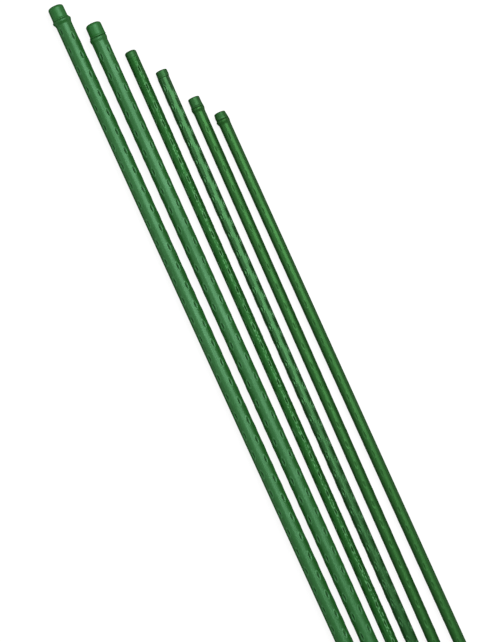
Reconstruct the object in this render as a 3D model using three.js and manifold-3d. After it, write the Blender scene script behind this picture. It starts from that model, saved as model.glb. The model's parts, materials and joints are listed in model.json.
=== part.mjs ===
// A set of six plastic-coated plant stakes, lying side by side on a flat surface.
// Each stake is a steel core tube in a green plastic coat, closed by a moulded cap at its head
// and by a ground point at its foot. Millimetres, +Z up, heads towards +Y.

import * as THREE from "three";
import { mergeVertices } from "three/addons/utils/BufferGeometryUtils.js";
import Module from "manifold-3d";

// Shafts
const STAKE_LENGTH = 600;
const THICK_DIAMETER = 11;
const THIN_DIAMETER = 8;
const COAT_WALL = 0.65;
const TUBE_WALL = 0.5;

// Clearances
const COAT_FIT = 0.2;
const STEM_FIT = 0.2;
const SEAT_GAP = 0.3;

// Dimples that keep a tie from slipping, pressed into the coat in rows along it. Each row is this share of
// the pitch nearer the head than the row before it.
const DIMPLE_ROWS = 5;
const DIMPLE_STAGGER = 0.6;
const DIMPLE_PITCH = 13.8;
const DIMPLE_LENGTH = 4.6;
const THICK_DIMPLE_WIDTH = 2.0;
const THIN_DIMPLE_WIDTH = 1.3;
const DIMPLE_SIDES = 4;
const DIMPLE_MARGIN = 0.7;

// Knuckle, the swollen ring that ends some coats at the head. It rises this far over the shaft, and the
// crest of some lies this far to the side.
const BOLD_KNUCKLE = 0.9;
const SHARP_KNUCKLE = 0.6;
const SOFT_KNUCKLE = 0.5;
const BOLD_CREST_ASIDE = -0.2;
const SHARP_CREST_ASIDE = -0.3;
const KNUCKLE_FLARE = 3.0;
const KNUCKLE_SHOULDER = 1.0;
const KNUCKLE_STEPS = 4;
const SHOULDER_STEPS = 3;

// Cap: the length of its head above the coat, the height of the dome at its end, how far the head lies
// inside the shaft's surface, and how much it tapers to its dome
const LONG_HEAD = 9.8;
const MIDDLE_HEAD = 6.9;
const SHORT_HEAD = 5.0;
const DOMED_HEAD = 4.6;
const ROUND_CROWN = 2.0;
const HIGH_CROWN = 1.6;
const FLAT_CROWN = 0.9;
const HEAD_INSET = 0.08;
const PROUD_INSET = -0.08;
const FLARED_INSET = -0.3;
const HEAD_TAPER = 0.1;
const FLARED_TAPER = 0.42;
const CAP_STEM_LENGTH = 14;
const CAP_END_FLAT = 2.0;

// Cap: the skirt at its seat, which some heads spread to, and how far to the side each head is moulded
const SKIRT_SPREAD = 0.3;
const SKIRT_HEIGHT = 1.4;
const SKIRT_ASIDE_SHARE = 0.4;
const BOLD_HEAD_ASIDE = -0.5;
const SOFT_HEAD_ASIDE = 0.5;
const FLUSH_HEAD_ASIDE = 0.25;
const PROUD_HEAD_ASIDE = 0.1;
const FLARED_HEAD_ASIDE = -0.28;
const CROWN_STEPS = 4;

// Ground point
const CONE_LENGTH = 24;
const COLLAR_LENGTH = 5;
const COLLAR_CHAMFER = 0.5;
const POINT_BLUNT = 0.8;
const POINT_STEM_LENGTH = 18;

// Lead-in chamfer on both stems
const STEM_CHAMFER = 0.6;

// How far the first stake's foot lies to the right of its head
const FIRST_LEAN = 3.1;

// How far each head end lies behind the first one
const SECOND_SET_BACK = 20.6;
const THIRD_SET_BACK = 47.5;
const FOURTH_SET_BACK = 67.7;
const FIFTH_SET_BACK = 93.0;
const SIXTH_SET_BACK = 109.1;

// Clear space to the shaft on the left, level with the last head end
const SECOND_HEAD_GAP = 5.7;
const THIRD_HEAD_GAP = 5.8;
const FOURTH_HEAD_GAP = 5.2;
const FIFTH_HEAD_GAP = 4.7;
const SIXTH_HEAD_GAP = 4.2;

// Clear space to the shaft on the left, level with the last foot end
const SECOND_FOOT_GAP = 3.5;
const THIRD_FOOT_GAP = 3.3;
const FOURTH_FOOT_GAP = 4.2;
const FIFTH_FOOT_GAP = 5.2;
const SIXTH_FOOT_GAP = 8.5;

// Facets round each turned piece. One faces straight down, and each row of dimples keeps to one facet.
const SIDES = 16;
const FACET_TURN = (2 * Math.PI) / SIDES;
const ACROSS_CORNERS = 1 / Math.cos(FACET_TURN / 2);

const THICK_SHAFT = { diameter: THICK_DIAMETER, dimpleWidth: THICK_DIMPLE_WIDTH };
const THIN_SHAFT = { diameter: THIN_DIAMETER, dimpleWidth: THIN_DIMPLE_WIDTH };

const PLAIN_HEAD = { inset: 0, taper: 0, skirt: 0, aside: 0, knuckle: 0, crestAside: 0 };
const LONG_MOULDED_HEAD = {
  ...PLAIN_HEAD, length: LONG_HEAD, crown: ROUND_CROWN, inset: HEAD_INSET, taper: HEAD_TAPER,
  skirt: SKIRT_SPREAD,
};
const BOLD_HEAD = {
  ...LONG_MOULDED_HEAD, aside: BOLD_HEAD_ASIDE, knuckle: BOLD_KNUCKLE, crestAside: BOLD_CREST_ASIDE,
};
const SOFT_HEAD = { ...LONG_MOULDED_HEAD, aside: SOFT_HEAD_ASIDE, knuckle: SOFT_KNUCKLE };
const ROUND_HEAD = { ...PLAIN_HEAD, length: DOMED_HEAD, crown: HIGH_CROWN };
const FLUSH_HEAD = {
  ...PLAIN_HEAD, length: SHORT_HEAD, crown: FLAT_CROWN, taper: HEAD_TAPER, aside: FLUSH_HEAD_ASIDE,
};
const PROUD_HEAD = {
  ...PLAIN_HEAD, length: MIDDLE_HEAD, crown: FLAT_CROWN, inset: PROUD_INSET, taper: HEAD_TAPER,
  aside: PROUD_HEAD_ASIDE, knuckle: SOFT_KNUCKLE,
};
const FLARED_HEAD = {
  ...PLAIN_HEAD, length: SHORT_HEAD, crown: FLAT_CROWN, inset: FLARED_INSET, taper: FLARED_TAPER,
  aside: FLARED_HEAD_ASIDE, knuckle: SHARP_KNUCKLE, crestAside: SHARP_CREST_ASIDE,
};

// The stakes from left to right. The first row of dimples is turned from the top by rowFacets facets.
const STAKES = [
  { shaft: THICK_SHAFT, head: BOLD_HEAD, rowFacets: 1, setBack: 0, headGap: 0, footGap: 0 },
  {
    shaft: THICK_SHAFT, head: SOFT_HEAD, rowFacets: 2,
    setBack: SECOND_SET_BACK, headGap: SECOND_HEAD_GAP, footGap: SECOND_FOOT_GAP,
  },
  {
    shaft: THIN_SHAFT, head: ROUND_HEAD, rowFacets: 1,
    setBack: THIRD_SET_BACK, headGap: THIRD_HEAD_GAP, footGap: THIRD_FOOT_GAP,
  },
  {
    shaft: THIN_SHAFT, head: FLUSH_HEAD, rowFacets: -1,
    setBack: FOURTH_SET_BACK, headGap: FOURTH_HEAD_GAP, footGap: FOURTH_FOOT_GAP,
  },
  {
    shaft: THIN_SHAFT, head: PROUD_HEAD, rowFacets: 0,
    setBack: FIFTH_SET_BACK, headGap: FIFTH_HEAD_GAP, footGap: FIFTH_FOOT_GAP,
  },
  {
    shaft: THIN_SHAFT, head: FLARED_HEAD, rowFacets: 0,
    setBack: SIXTH_SET_BACK, headGap: SIXTH_HEAD_GAP, footGap: SIXTH_FOOT_GAP,
  },
];
const LAST_SET_BACK = Math.max(...STAKES.map((stake) => stake.setBack));

const FINISHES = {
  steel: { color: 0x9ea3a6, roughness: 0.4, metalness: 0.9 },
  coat: { color: 0x2f7a3c, roughness: 0.42, metalness: 0 },
  cap: { color: 0x317f3d, roughness: 0.45, metalness: 0 },
  point: { color: 0x2b7037, roughness: 0.5, metalness: 0 },
};

const wasm = await Module();
wasm.setup();

// A point of a turned outline. The radius is measured to the middle of a facet.
function at(radius, y) {
  return new THREE.Vector2(radius * ACROSS_CORNERS, y);
}

// A solid turned about the Y axis, with a facet square to Z.
function turned(outline) {
  return new THREE.LatheGeometry(outline, SIDES, FACET_TURN / 2);
}

// Moves each ring of a turned solid to the side, by what the rule gives for its radius and level.
function setAside(geometry, rule) {
  const points = geometry.attributes.position;
  for (let index = 0; index < points.count; index += 1) {
    const radius = Math.hypot(points.getX(index), points.getZ(index)) / ACROSS_CORNERS;
    points.setX(index, points.getX(index) + rule(radius, points.getY(index)));
  }
  return geometry;
}

function solidOf(geometry) {
  const bare = geometry.clone();
  bare.deleteAttribute("normal");
  bare.deleteAttribute("uv");
  const merged = mergeVertices(bare);
  const mesh = new wasm.Mesh({
    numProp: 3,
    vertProperties: new Float32Array(merged.attributes.position.array),
    triVerts: new Uint32Array(merged.index.array),
  });
  return new wasm.Manifold(mesh);
}

function geometryOf(solid) {
  const mesh = solid.getMesh();
  const geometry = new THREE.BufferGeometry();
  geometry.setAttribute("position", new THREE.BufferAttribute(mesh.vertProperties, 3));
  geometry.setIndex(new THREE.BufferAttribute(mesh.triVerts, 1));
  geometry.computeVertexNormals();
  return geometry;
}

// The radii and levels that the four pieces of one stake share. Y runs along the stake, 0 at its head end.
function fitsOf(stake) {
  const shaft = stake.shaft.diameter / 2;
  const bore = shaft - COAT_WALL;
  const tubeOuter = bore - COAT_FIT;
  const tubeInner = tubeOuter - TUBE_WALL;
  const seat = -stake.head.length;
  const collarTop = -STAKE_LENGTH + CONE_LENGTH + COLLAR_LENGTH;
  return {
    shaft,
    bore,
    tubeOuter,
    tubeInner,
    stem: tubeInner - STEM_FIT,
    widest: shaft + stake.head.knuckle,
    seat,
    collarTop,
    coatTop: seat - SEAT_GAP,
    coatFoot: collarTop + SEAT_GAP,
  };
}

function coreTube(fits) {
  return turned([
    at(fits.tubeInner, fits.coatTop),
    at(fits.tubeInner, fits.coatFoot),
    at(fits.tubeOuter, fits.coatFoot),
    at(fits.tubeOuter, fits.coatTop),
    at(fits.tubeInner, fits.coatTop),
  ]);
}

// The cutter for one dimple: a long four-sided point that reaches half-way through the coat.
function dimpleCutter(width) {
  const depth = COAT_WALL / 2;
  const cutter = new THREE.ConeGeometry(1, 2 * depth, DIMPLE_SIDES);
  cutter.rotateX(Math.PI);
  cutter.scale(DIMPLE_LENGTH, 1, width);
  return cutter;
}

// Cuts the rows of dimples round the coat.
function dimpled(sleeve, stake, fits) {
  const top = fits.coatTop - KNUCKLE_SHOULDER - KNUCKLE_FLARE - DIMPLE_MARGIN;
  const foot = fits.coatFoot + DIMPLE_MARGIN;
  const along = new THREE.Vector3(0, 1, 0);
  const cutter = dimpleCutter(stake.shaft.dimpleWidth);
  let whole = solidOf(sleeve);
  for (let row = 0; row < DIMPLE_ROWS; row += 1) {
    const facet = stake.rowFacets + Math.round((row * SIDES) / DIMPLE_ROWS);
    const angle = facet * FACET_TURN;
    const out = new THREE.Vector3(Math.sin(angle), 0, Math.cos(angle));
    const across = new THREE.Vector3().crossVectors(along, out);
    const drop = ((DIMPLE_ROWS - row) * DIMPLE_STAGGER) % 1;
    const start = top - drop * DIMPLE_PITCH - DIMPLE_LENGTH / 2;
    for (let y = start; y - DIMPLE_LENGTH / 2 > foot; y -= DIMPLE_PITCH) {
      const place = new THREE.Matrix4().makeBasis(along, out, across);
      place.setPosition(out.x * fits.shaft, y, out.z * fits.shaft);
      whole = whole.subtract(solidOf(cutter.clone().applyMatrix4(place)));
    }
  }
  return geometryOf(whole);
}

// The knuckle's outline: an easy flare up to its crest, then a round shoulder down to the cap's seat.
function knuckleOutline(rise, fits) {
  const crest = fits.coatTop - KNUCKLE_SHOULDER;
  const outline = [];
  for (let step = 1; step <= KNUCKLE_STEPS; step += 1) {
    const share = step / KNUCKLE_STEPS;
    const radius = fits.shaft + (rise * (1 - Math.cos(Math.PI * share))) / 2;
    outline.push(at(radius, crest - KNUCKLE_FLARE * (1 - share)));
  }
  for (let step = 1; step < SHOULDER_STEPS; step += 1) {
    const angle = (Math.PI / 2) * (step / SHOULDER_STEPS);
    const radius = fits.shaft + rise * Math.cos(angle);
    outline.push(at(radius, crest + KNUCKLE_SHOULDER * Math.sin(angle)));
  }
  return outline;
}

// The coat: a dimpled sleeve over the tube, swelling at its head into the knuckle where it has one.
function coat(stake, fits) {
  const outline = [
    at(fits.bore, fits.coatTop),
    at(fits.bore, fits.coatFoot),
    at(fits.shaft, fits.coatFoot),
    at(fits.shaft, fits.coatTop - KNUCKLE_SHOULDER - KNUCKLE_FLARE),
  ];
  if (stake.head.knuckle > 0) {
    outline.push(...knuckleOutline(stake.head.knuckle, fits));
  }
  outline.push(at(fits.shaft, fits.coatTop), at(fits.bore, fits.coatTop));
  const { knuckle, crestAside } = stake.head;
  const rule = (radius) => crestAside * Math.max(0, (radius - fits.shaft) / Math.max(knuckle, COAT_WALL));
  return dimpled(setAside(turned(outline), rule), stake, fits);
}

// The cap: a stem in the tube's bore under a head with a domed end and a small flat at its middle. The stem
// is on the stake's axis, and the head is moulded to the side of it.
function cap(stake, fits) {
  const { crown, inset, taper, skirt, aside } = stake.head;
  const stemEnd = fits.seat - CAP_STEM_LENGTH;
  const headTop = fits.shaft - inset - taper;
  const outline = [
    at(0, stemEnd),
    at(fits.stem - STEM_CHAMFER, stemEnd),
    at(fits.stem, stemEnd + STEM_CHAMFER),
    at(fits.stem, fits.seat),
    at(fits.shaft - inset + skirt, fits.seat),
    at(fits.shaft - inset, fits.seat + SKIRT_HEIGHT),
  ];
  for (let step = 0; step <= CROWN_STEPS; step += 1) {
    const angle = (Math.PI / 2) * (step / CROWN_STEPS);
    const radius = CAP_END_FLAT + (headTop - CAP_END_FLAT) * Math.cos(angle);
    outline.push(at(radius, crown * (Math.sin(angle) - 1)));
  }
  outline.push(at(0, 0));
  const rule = (radius, y) => {
    const share = THREE.MathUtils.clamp((y - fits.seat) / SKIRT_HEIGHT, 0, 1);
    const isStem = y < fits.seat + STEM_FIT && radius < fits.stem + STEM_FIT;
    return isStem ? 0 : aside * (SKIRT_ASIDE_SHARE + (1 - SKIRT_ASIDE_SHARE) * share);
  };
  return setAside(turned(outline), rule);
}

// The ground point: a cone under a collar as wide as the knuckle, so that the stake lies level.
function groundPoint(fits) {
  const coneTop = fits.collarTop - COLLAR_LENGTH;
  const stemEnd = fits.collarTop + POINT_STEM_LENGTH;
  return turned([
    at(0, -STAKE_LENGTH),
    at(POINT_BLUNT / 2, -STAKE_LENGTH),
    at(POINT_BLUNT, -STAKE_LENGTH + POINT_BLUNT / 2),
    at(fits.widest - COLLAR_CHAMFER, coneTop),
    at(fits.widest, coneTop + COLLAR_CHAMFER),
    at(fits.widest, fits.collarTop - COLLAR_CHAMFER),
    at(fits.widest - COLLAR_CHAMFER, fits.collarTop),
    at(fits.stem, fits.collarTop),
    at(fits.stem, stemEnd - STEM_CHAMFER),
    at(fits.stem - STEM_CHAMFER, stemEnd),
    at(0, stemEnd),
  ]);
}

function piece(name, geometry, finish) {
  const mesh = new THREE.Mesh(geometry, new THREE.MeshStandardMaterial(finish));
  mesh.name = name;
  return mesh;
}

// One stake lying on the surface with its axis along Y, set so that the last head end is at y = 0.
function stakeGroup(stake, label) {
  const fits = fitsOf(stake);
  const body = new THREE.Group();
  body.add(
    piece(`${label}_core_tube`, coreTube(fits), FINISHES.steel),
    piece(`${label}_coat`, coat(stake, fits), FINISHES.coat),
    piece(`${label}_cap`, cap(stake, fits), FINISHES.cap),
    piece(`${label}_point`, groundPoint(fits), FINISHES.point),
  );
  body.position.y = LAST_SET_BACK - stake.setBack;
  const laid = new THREE.Group();
  laid.add(body);
  laid.position.z = fits.widest;
  return laid;
}

// The stakes are set out from left to right by their clear gaps at the head line and the foot line.
function layOut() {
  const set = new THREE.Group();
  const footLine = LAST_SET_BACK - STAKE_LENGTH;
  let headX = 0;
  let footX = FIRST_LEAN;
  STAKES.forEach((stake, index) => {
    if (index > 0) {
      const pitch = (STAKES[index - 1].shaft.diameter + stake.shaft.diameter) / 2;
      headX += pitch + stake.headGap;
      footX += pitch + stake.footGap;
    }
    const laid = stakeGroup(stake, `stake_${index + 1}`);
    laid.position.x = headX;
    laid.rotation.z = Math.atan2(footX - headX, -footLine);
    set.add(laid);
  });
  return set;
}

// The origin is under the middle of the set, on the surface that it lies on.
function centred(set) {
  const box = new THREE.Box3().setFromObject(set, true);
  const middle = box.getCenter(new THREE.Vector3());
  set.position.set(-middle.x, -middle.y, 0);
  return set;
}

export default centred(layOut());
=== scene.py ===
"""Dresses a set of six plastic-coated plant stakes, lying side by side, and sets up its photograph.

Each stake has a dimpled green coat over a steel core tube, a moulded cap at its head and a ground point at
its foot. Lengths are in metres. In a stake's own frame Y runs along it, with 0 at its head end and the foot
below, and Z is up; its place in the set comes from the mount on its head.
"""

import json
import logging
import math
from dataclasses import dataclass, field
from enum import Enum
from typing import Any, Iterable, Sequence

import bpy
import numpy as np
from bpy.types import Material, Mesh, Node, NodeInputs, NodeOutputs, NodeSocket, NodeTree
from mathutils import Matrix, Vector

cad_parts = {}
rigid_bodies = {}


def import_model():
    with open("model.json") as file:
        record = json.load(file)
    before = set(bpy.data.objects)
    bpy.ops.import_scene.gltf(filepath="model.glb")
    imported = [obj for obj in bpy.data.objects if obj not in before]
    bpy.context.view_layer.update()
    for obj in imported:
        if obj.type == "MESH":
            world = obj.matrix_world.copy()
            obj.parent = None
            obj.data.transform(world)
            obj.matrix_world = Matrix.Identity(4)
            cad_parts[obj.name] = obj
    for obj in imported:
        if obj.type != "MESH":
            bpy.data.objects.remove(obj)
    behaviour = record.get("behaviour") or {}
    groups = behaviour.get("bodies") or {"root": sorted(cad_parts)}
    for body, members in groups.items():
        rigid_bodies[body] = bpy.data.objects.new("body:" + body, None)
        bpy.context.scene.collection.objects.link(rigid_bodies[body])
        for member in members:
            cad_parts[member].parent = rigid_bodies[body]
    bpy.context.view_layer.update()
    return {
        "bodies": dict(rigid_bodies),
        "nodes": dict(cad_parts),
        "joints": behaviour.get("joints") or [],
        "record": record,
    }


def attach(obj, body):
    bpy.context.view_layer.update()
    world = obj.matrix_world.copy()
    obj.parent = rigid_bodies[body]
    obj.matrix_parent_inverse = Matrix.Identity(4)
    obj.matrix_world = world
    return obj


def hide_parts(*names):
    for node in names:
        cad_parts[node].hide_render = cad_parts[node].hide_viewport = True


LOG = logging.getLogger("plant_stakes")
MM = 0.001

Colour = tuple[float, float, float]
Outline = list[tuple[float, float]]
Paint = tuple[float, float, float, float]

# Sizes that every stake shares, as in the solids
STAKE_LENGTH = 600 * MM
COAT_WALL = 0.65 * MM
COAT_FIT = 0.2 * MM
TUBE_WALL = 0.5 * MM
STEM_FIT = 0.2 * MM
SEAT_GAP = 0.3 * MM
STEM_CHAMFER = 0.6 * MM
KNUCKLE_FLARE = 3.0 * MM
KNUCKLE_SHOULDER = 1.0 * MM
CONE_LENGTH = 24 * MM
COLLAR_LENGTH = 5 * MM

# Fineness of the turned meshes
ROUND_COLUMNS = 64
ARC_STEPS = 8

# Sockets of the node groups that aren't plain numbers
SOCKET_TYPES = {
    "Place": "NodeSocketVector", "Geometry": "NodeSocketGeometry", "Material": "NodeSocketMaterial",
}


@dataclass(frozen=True)
class ShaftSize:
    """The sizes of one thickness of shaft.

    Attributes:
        radius: Outer radius of the coat.
        dimple_width: Width of a dimple across the shaft.
        dimple_depth: Depth of a dimple at its middle.
    """

    radius: float
    dimple_width: float
    dimple_depth: float

    @property
    def bore(self) -> float:
        """Inner radius of the coat."""
        return self.radius - COAT_WALL

    @property
    def stem(self) -> float:
        """Radius of the stems that go into the core tube."""
        return self.bore - COAT_FIT - TUBE_WALL - STEM_FIT


class Gauge(Enum):
    """The two thicknesses of stake in the set."""

    THICK = ShaftSize(radius=5.5 * MM, dimple_width=1.8 * MM, dimple_depth=0.55 * MM)
    THIN = ShaftSize(radius=4.0 * MM, dimple_width=1.4 * MM, dimple_depth=0.4 * MM)


@dataclass(frozen=True)
class HeadShape:
    """The shape of a stake's head, where the cap meets the coat.

    Attributes:
        length: Length of the cap's head above its seat.
        crown: Height of the dome at the end.
        seam: Width of the open joint between the cap and the coat.
        lip: Radius on the edges that face each other across the joint.
        inset: How far the head lies inside the shaft's surface.
        taper: How much the head narrows towards its dome.
        knuckle: How far the coat's end ring stands above the shaft.
        skirt: How far the head spreads at its seat.
        aside: How far to the right of the stake's axis the head is moulded.
        crest_aside: How far to the right of the axis the end ring's crest lies.
    """

    length: float
    crown: float
    seam: float
    lip: float
    inset: float = 0.0
    taper: float = 0.0
    knuckle: float = 0.0
    skirt: float = 0.0
    aside: float = 0.0
    crest_aside: float = 0.0


class HeadStyle(Enum):
    """The heads in the set, named for how the joint looks."""

    BOLD = HeadShape(length=9.8 * MM, crown=2.0 * MM, inset=0.08 * MM, taper=0.1 * MM, knuckle=0.9 * MM,
                     seam=0.08 * MM, lip=0.2 * MM, skirt=0.3 * MM, aside=-0.5 * MM, crest_aside=-0.2 * MM)
    SOFT = HeadShape(length=9.8 * MM, crown=2.0 * MM, inset=0.08 * MM, taper=0.1 * MM, knuckle=0.5 * MM,
                     seam=0.2 * MM, lip=0.3 * MM, skirt=0.3 * MM, aside=0.5 * MM)
    ROUND = HeadShape(length=4.6 * MM, crown=1.6 * MM, seam=0.05 * MM, lip=0.06 * MM)
    FLUSH = HeadShape(length=5.0 * MM, crown=0.9 * MM, inset=-0.06 * MM, taper=0.08 * MM,
                      seam=0.18 * MM, lip=0.15 * MM, aside=0.36 * MM)
    PROUD = HeadShape(length=6.9 * MM, crown=0.9 * MM, inset=-0.08 * MM, taper=0.1 * MM, knuckle=0.5 * MM,
                      seam=0.03 * MM, lip=0.08 * MM, skirt=0.28 * MM, aside=0.1 * MM)
    FLARED = HeadShape(length=5.0 * MM, crown=0.9 * MM, inset=-0.3 * MM, taper=0.42 * MM, knuckle=0.6 * MM,
                       seam=0.15 * MM, lip=0.15 * MM, aside=-0.28 * MM, crest_aside=-0.3 * MM)


@dataclass(frozen=True)
class DimpleRows:
    """How the rows of dimples lie on one coat.

    Attributes:
        turn: Angle of the first row from the top, in degrees.
        start: Distance of a dimple of the first row from the head end.
        pitch: Distance between the dimples of a row.
        stagger: Share of the pitch that each row is nearer the head than the row before it.
        press: Share of the full depth that the dimples are pressed to.
        count: Number of rows round the coat.
        length: Length of a dimple.
        lip: Height of the lip round a dimple.
    """

    turn: float
    start: float
    pitch: float
    stagger: float
    press: float = 1.0
    count: int = 5
    length: float = 5.0 * MM
    lip: float = 0.14 * MM


class NodeWriter:
    """Adds nodes to a node tree and links them, so that a formula reads in order.

    Attributes:
        tree: The tree that it writes into.
    """

    # Places of the colour sockets on a Mix node
    MIX_SHARE = 0
    MIX_FIRST = 6
    MIX_SECOND = 7
    MIX_RESULT = 2

    def __init__(self, tree: NodeTree) -> None:
        """Starts writing into a tree."""
        self.tree = tree

    def add(self, kind: str, inputs: dict[str | int, Any] | None = None, **settings: Any) -> Node:
        """Adds one node.

        Args:
            kind: The node's type name.
            inputs: A value or a socket to link for each input, by name or index.
            settings: Properties to set on the node before its inputs.

        Returns:
            The new node.
        """
        node = self.tree.nodes.new(kind)
        for name, value in settings.items():
            setattr(node, name, value)
        self.feed(node.inputs, inputs or {})
        return node

    def feed(self, sockets: NodeInputs, values: dict[str | int, Any]) -> None:
        """Links or sets a node's inputs.

        Args:
            sockets: The node's inputs.
            values: A value or a socket to link for each input, by name or index.
        """
        for key, value in values.items():
            if isinstance(value, NodeSocket):
                self.tree.links.new(value, sockets[key])
            else:
                sockets[key].default_value = value

    def math(self, operation: str, *values: Any) -> NodeSocket:
        """Adds a Math node and gives its output."""
        return self.add("ShaderNodeMath", dict(enumerate(values)), operation=operation).outputs[0]

    def group(self, tree: NodeTree, inputs: dict[str, Any]) -> NodeOutputs:
        """Places a shader group and gives its outputs."""
        return self.add("ShaderNodeGroup", inputs, node_tree=tree).outputs

    def attribute(self, name: str) -> NodeSocket:
        """Reads a value that is stored on the mesh and gives the output."""
        return self.add("ShaderNodeAttribute", attribute_name=name).outputs["Fac"]

    def drawn_out(self, place: NodeSocket, shares: tuple[float, float, float]) -> NodeSocket:
        """Scales a place along each axis and gives the output."""
        return self.add("ShaderNodeVectorMath", {0: place, 1: shares}, operation="MULTIPLY").outputs[0]

    def stretched(self, value: Any, low: float, high: float, to_low: float = 0.0,
                  to_high: float = 1.0) -> NodeSocket:
        """Maps a value from one range to another, held at both ends, and gives the output."""
        inputs = {"Value": value, "From Min": low, "From Max": high, "To Min": to_low, "To Max": to_high}
        return self.add("ShaderNodeMapRange", inputs, clamp=True).outputs["Result"]

    def noise(self, place: NodeSocket, scale: Any, detail: float, low: float, high: float,
              to_low: float = 0.0, to_high: float = 1.0, roughness: float = 0.5) -> NodeSocket:
        """Adds a noise and stretches its contrast.

        Args:
            place: Where it is read: a place, or a length for a noise along a line.
            scale: How many of its features lie in a metre.
            detail: How many finer layers it has.
            low: Noise that gives the first end of the result.
            high: Noise that gives the other end.
            to_low: First end of the result.
            to_high: Other end of the result.
            roughness: Strength of the finer layers.

        Returns:
            The output.
        """
        inputs = {"Scale": scale, "Detail": detail, "Roughness": roughness}
        if place.type == "VECTOR":
            node = self.add("ShaderNodeTexNoise", inputs | {"Vector": place})
        else:
            node = self.add("ShaderNodeTexNoise", inputs | {"W": place}, noise_dimensions="1D")
        return self.stretched(node.outputs[0], low, high, to_low, to_high)

    def mixed(self, share: Any, first: Any, second: Any) -> NodeSocket:
        """Mixes this share of a second colour into a first and gives the output."""
        inputs = {self.MIX_SHARE: share, self.MIX_FIRST: first, self.MIX_SECOND: second}
        return self.add("ShaderNodeMix", inputs, data_type="RGBA").outputs[self.MIX_RESULT]


def opaque(colour: Colour) -> Paint:
    """Gives a colour with full alpha, as a socket takes it."""
    return (*colour, 1.0)


def grey(level: float) -> Paint:
    """Gives a grey with full alpha, as a socket takes it."""
    return opaque((level, level, level))


def new_group(name: str, kind: str, inputs: Sequence[str], outputs: Sequence[str],
              ) -> tuple[NodeWriter, NodeOutputs, NodeInputs]:
    """Makes an empty node group with named sockets.

    Args:
        name: The group's name.
        kind: The tree's type name.
        inputs: Names of its inputs.
        outputs: Names of its outputs.

    Returns:
        A writer for the group's tree, the sockets that bring its inputs in, and those that take its outputs.
    """
    tree = bpy.data.node_groups.new(name, kind)
    for in_out, labels in (("INPUT", inputs), ("OUTPUT", outputs)):
        for label in labels:
            socket_type = SOCKET_TYPES.get(label, "NodeSocketFloat")
            tree.interface.new_socket(name=label, in_out=in_out, socket_type=socket_type)
    given = tree.nodes.new("NodeGroupInput").outputs
    taken = tree.nodes.new("NodeGroupOutput").inputs
    return NodeWriter(tree), given, taken


class SurfaceEffects:
    """The shader groups that the finishes share. Each is built once.

    Attributes:
        streaks: The lines that a die draws along a piece.
        mottle: The slow drift of a shade and the fine pebble of a skin.
        scuffs: Sparse short worn marks.
        scrapes: Two worn lines beside a row of dimples.
    """

    # Scale of a noise on each axis, which draws it out along a stake
    STREAK_STRETCH = (1.0, 0.015, 1.0)
    SCUFF_STRETCH = (1.0, 0.12, 1.0)
    PATCHES_PER_METRE = 45.0

    # The worn lines: the shift between their patterns, their distance from the row, and half their width
    SCRAPES_PER_METRE = 380.0
    WANDERS_PER_METRE = 150.0
    LINE_SHIFT = 0.5
    LINE_NEAREST = 0.45 * MM
    LINE_FARTHEST = 1.05 * MM
    LINE_CORE = 0.08 * MM
    LINE_EDGE = 0.42 * MM

    def __init__(self) -> None:
        """Builds the groups."""
        self.streaks = self._streaks()
        self.mottle = self._mottle()
        self.scuffs = self._scuffs()
        self.scrapes = self._scrapes()

    def _streaks(self) -> NodeTree:
        """Builds the lines that a die draws along an extruded or drawn piece.

        Returns:
            The group.
        """
        write, given, taken = new_group("drawn_streaks", "ShaderNodeTree",
                                        ("Place", "Lines Per Metre"), ("Streak",))
        drawn = write.drawn_out(given["Place"], self.STREAK_STRETCH)
        streak = write.noise(drawn, given["Lines Per Metre"], detail=3.0, roughness=0.6, low=0.3, high=0.7)
        write.feed(taken, {"Streak": streak})
        return write.tree

    def _mottle(self) -> NodeTree:
        """Builds the slow drift of a plastic's shade and the fine pebble of its skin.

        Returns:
            The group.
        """
        write, given, taken = new_group("plastic_mottle", "ShaderNodeTree",
                                        ("Place", "Drift Scale", "Pebble Scale"), ("Drift", "Pebble"))
        place = given["Place"]
        drift = write.noise(place, given["Drift Scale"], detail=4.0, roughness=0.55, low=0.32, high=0.68)
        pebble = write.noise(place, given["Pebble Scale"], detail=2.0, low=0.25, high=0.75)
        write.feed(taken, {"Drift": drift, "Pebble": pebble})
        return write.tree

    def _scuffs(self) -> NodeTree:
        """Builds sparse short rubbed marks along a piece, in patches.

        Returns:
            The group.
        """
        # Builds sparse short worn marks along a piece, in patches.
        write, given, taken = new_group("handling_scuffs", "ShaderNodeTree",
                                        ("Place", "Marks Per Metre"), ("Scuff",))
        drawn = write.drawn_out(given["Place"], self.SCUFF_STRETCH)
        marks = write.noise(drawn, given["Marks Per Metre"], detail=1.0, low=0.62, high=0.72)
        patches = write.noise(given["Place"], self.PATCHES_PER_METRE, detail=1.0, low=0.45, high=0.65)
        write.feed(taken, {"Scuff": write.math("MULTIPLY", marks, patches)})
        return write.tree

    def _scrapes(self) -> NodeTree:
        """Builds two worn lines, broken into short scrapes, beside the first row of dimples.

        Returns:
            The group.
        """
        write, given, taken = new_group("short_scrapes", "ShaderNodeTree", ("Along", "Side"), ("Scrape",))
        which = write.math("MULTIPLY_ADD", write.math("SIGN", given["Side"]), self.LINE_SHIFT, given["Along"])
        apart = write.noise(which, self.WANDERS_PER_METRE, detail=2.0, low=0.3, high=0.7,
                            to_low=self.LINE_NEAREST, to_high=self.LINE_FARTHEST)
        off_row = write.math("ABSOLUTE", given["Side"])
        off_line = write.math("ABSOLUTE", write.math("SUBTRACT", off_row, apart))
        line = write.stretched(off_line, self.LINE_CORE, self.LINE_EDGE, 1.0, 0.0)
        worn = write.noise(which, self.SCRAPES_PER_METRE, detail=2.0, low=0.46, high=0.56, to_low=0.05)
        patches = write.noise(given["Along"], self.PATCHES_PER_METRE, detail=2.0, low=0.4, high=0.6,
                              to_low=0.5)
        write.feed(taken, {"Scrape": write.math("MULTIPLY", write.math("MULTIPLY", line, worn), patches)})
        return write.tree


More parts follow.
